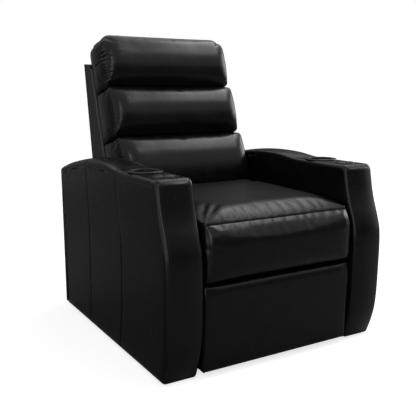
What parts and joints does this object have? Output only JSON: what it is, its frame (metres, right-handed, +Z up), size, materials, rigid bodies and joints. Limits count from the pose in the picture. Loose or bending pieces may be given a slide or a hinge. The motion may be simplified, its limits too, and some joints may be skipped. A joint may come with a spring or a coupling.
{
  "type": "cinema recliner seat",
  "caption": "Power cinema recliner with wide arms, cup holders, a three-bolster back with tilting head bolster, a sliding seat and a swing-out footrest.",
  "frame": {"origin": "on the floor under the middle of the box, at rest with footrest and back closed", "axes": "+Z up, the front faces -Y, +X is the right arm as seen from the front"},
  "size_m": [0.86, 1.0161, 1.1038],
  "materials": {
    "leather": "semi-gloss black upholstery leather",
    "timber": "bare plywood and softwood",
    "black_steel": "black powder coat",
    "zinc": "zinc plated",
    "black_plastic": "moulded, fine texture",
    "cable_jacket": "extruded cable jacket",
    "cup_trim": "satin black with a bright lip",
    "control_trim": "gloss black",
    "button": "satin black",
    "foam": "open-cell foam block"
  },
  "bodies": {
    "base": {"base_side_rails": "black_steel", "base_cross_tubes": "black_steel", "glide_feet": "black_plastic", "slide_tracks": "zinc", "left_arm_frame": "timber", "right_arm_frame": "timber", "left_arm_outer_panel": "leather", "right_arm_outer_panel": "leather", "left_arm_inner_panel": "leather", "right_arm_inner_panel": "leather", "left_arm_band": "leather", "right_arm_band": "leather", "left_cup_holder": "cup_trim", "right_cup_holder": "cup_trim", "left_control_plate": "control_trim", "right_control_plate": "control_trim", "arm_brackets": "black_steel", "arm_bolts": "zinc", "actuator_gearbox": "black_plastic", "actuator_motor": "zinc", "actuator_rail": "zinc", "lead_screw": "zinc", "actuator_mounts": "black_steel", "power_supply": "black_plastic", "mains_inlet": "black_plastic", "power_lead": "cable_jacket"},
    "carriage": {"side_plates": "black_steel", "roller_axles": "zinc", "link_pivot_pins": "zinc", "back_pivot_pins": "zinc", "seat_side_rails": "timber", "seat_cross_rails": "timber", "seat_springs": "zinc", "seat_foam": "foam", "seat_cushion": "leather", "seat_front_border": "leather", "drive_tube": "black_steel", "slider_block": "black_plastic"},
    "front_roller_pair": {"front_rollers": "black_plastic"},
    "rear_roller_pair": {"rear_rollers": "black_plastic"},
    "front_swing": {"front_swing_links": "black_steel"},
    "rear_swing": {"rear_swing_links": "black_steel"},
    "upper_push": {"upper_push_links": "black_steel"},
    "lower_push": {"lower_push_links": "black_steel"},
    "footrest": {"footrest_brackets": "black_steel", "footrest_board": "timber", "footrest_pad": "leather"},
    "back": {"back_posts": "timber", "back_cross_rails": "timber", "back_springs": "zinc", "back_side_panels": "leather", "outside_back": "leather", "back_pivot_brackets": "black_steel", "lumbar_bolster": "leather", "mid_bolster": "leather"},
    "headrest": {"head_bolster": "leather"},
    "left_outer_key": {"left_outer_button": "button"},
    "left_inner_key": {"left_inner_button": "button"},
    "right_outer_key": {"right_outer_button": "button"},
    "right_inner_key": {"right_inner_button": "button"}
  },
  "joints": [
    {"name": "recline", "type": "slide", "parent": "base", "child": "carriage", "axis": [0, -1, 0], "range_m": [0, 0.1]},
    {"name": "back_recline", "type": "hinge", "parent": "carriage", "child": "back", "pos_m": [0, 0.24, 0.355], "axis": [-1, 0, 0], "range_deg": [0, 35]},
    {"name": "headrest_tilt", "type": "hinge", "parent": "back", "child": "headrest", "pos_m": [0, 0.26078, 0.90596], "axis": [1, 0, 0], "range_deg": [0, 25]},
    {"name": "front_swing_turn", "type": "hinge", "parent": "carriage", "child": "front_swing", "pos_m": [0, -0.31, 0.284], "axis": [-1, 0, 0], "range_deg": [0, 84]},
    {"name": "rear_swing_turn", "type": "hinge", "parent": "carriage", "child": "rear_swing", "pos_m": [0, -0.255, 0.263], "axis": [-1, 0, 0], "range_deg": [0, 84]},
    {"name": "upper_push_turn", "type": "hinge", "parent": "front_swing", "child": "upper_push", "pos_m": [0, -0.26051, 0.14028], "axis": [-1, 0, 0], "range_deg": [-84, 0]},
    {"name": "lower_push_turn", "type": "hinge", "parent": "front_swing", "child": "lower_push", "pos_m": [0, -0.24489, 0.0949], "axis": [-1, 0, 0], "range_deg": [-84, 0]},
    {"name": "footrest_turn", "type": "hinge", "parent": "upper_push", "child": "footrest", "pos_m": [0, -0.40957, 0.26985], "axis": [-1, 0, 0], "range_deg": [0, 84]},
    {"name": "front_roller_spin", "type": "hinge", "parent": "carriage", "child": "front_roller_pair", "pos_m": [0, -0.232, 0.068], "axis": [1, 0, 0], "range_deg": [0, 390.77]},
    {"name": "rear_roller_spin", "type": "hinge", "parent": "carriage", "child": "rear_roller_pair", "pos_m": [0, 0.21, 0.068], "axis": [1, 0, 0], "range_deg": [0, 390.77]},
    {"name": "left_outer_press", "type": "slide", "parent": "base", "child": "left_outer_key", "axis": [0, 0, -1], "range_m": [0, 0.0015], "stiffness_N_per_m": 600, "springref_m": -0.001},
    {"name": "left_inner_press", "type": "slide", "parent": "base", "child": "left_inner_key", "axis": [0, 0, -1], "range_m": [0, 0.0015], "stiffness_N_per_m": 600, "springref_m": -0.001},
    {"name": "right_outer_press", "type": "slide", "parent": "base", "child": "right_outer_key", "axis": [0, 0, -1], "range_m": [0, 0.0015], "stiffness_N_per_m": 600, "springref_m": -0.001},
    {"name": "right_inner_press", "type": "slide", "parent": "base", "child": "right_inner_key", "axis": [0, 0, -1], "range_m": [0, 0.0015], "stiffness_N_per_m": 600, "springref_m": -0.001}
  ],
  "couplings": [
    {"joint": "back_recline", "follows": "recline", "rad_per_m": 6.1087},
    {"joint": "front_swing_turn", "follows": "recline", "rad_per_m": 14.661},
    {"joint": "rear_swing_turn", "follows": "recline", "rad_per_m": 14.661},
    {"joint": "upper_push_turn", "follows": "recline", "rad_per_m": -14.661},
    {"joint": "lower_push_turn", "follows": "recline", "rad_per_m": -14.661},
    {"joint": "footrest_turn", "follows": "recline", "rad_per_m": 14.661},
    {"joint": "front_roller_spin", "follows": "recline", "rad_per_m": 68.027},
    {"joint": "rear_roller_spin", "follows": "recline", "rad_per_m": 68.027}
  ]
}
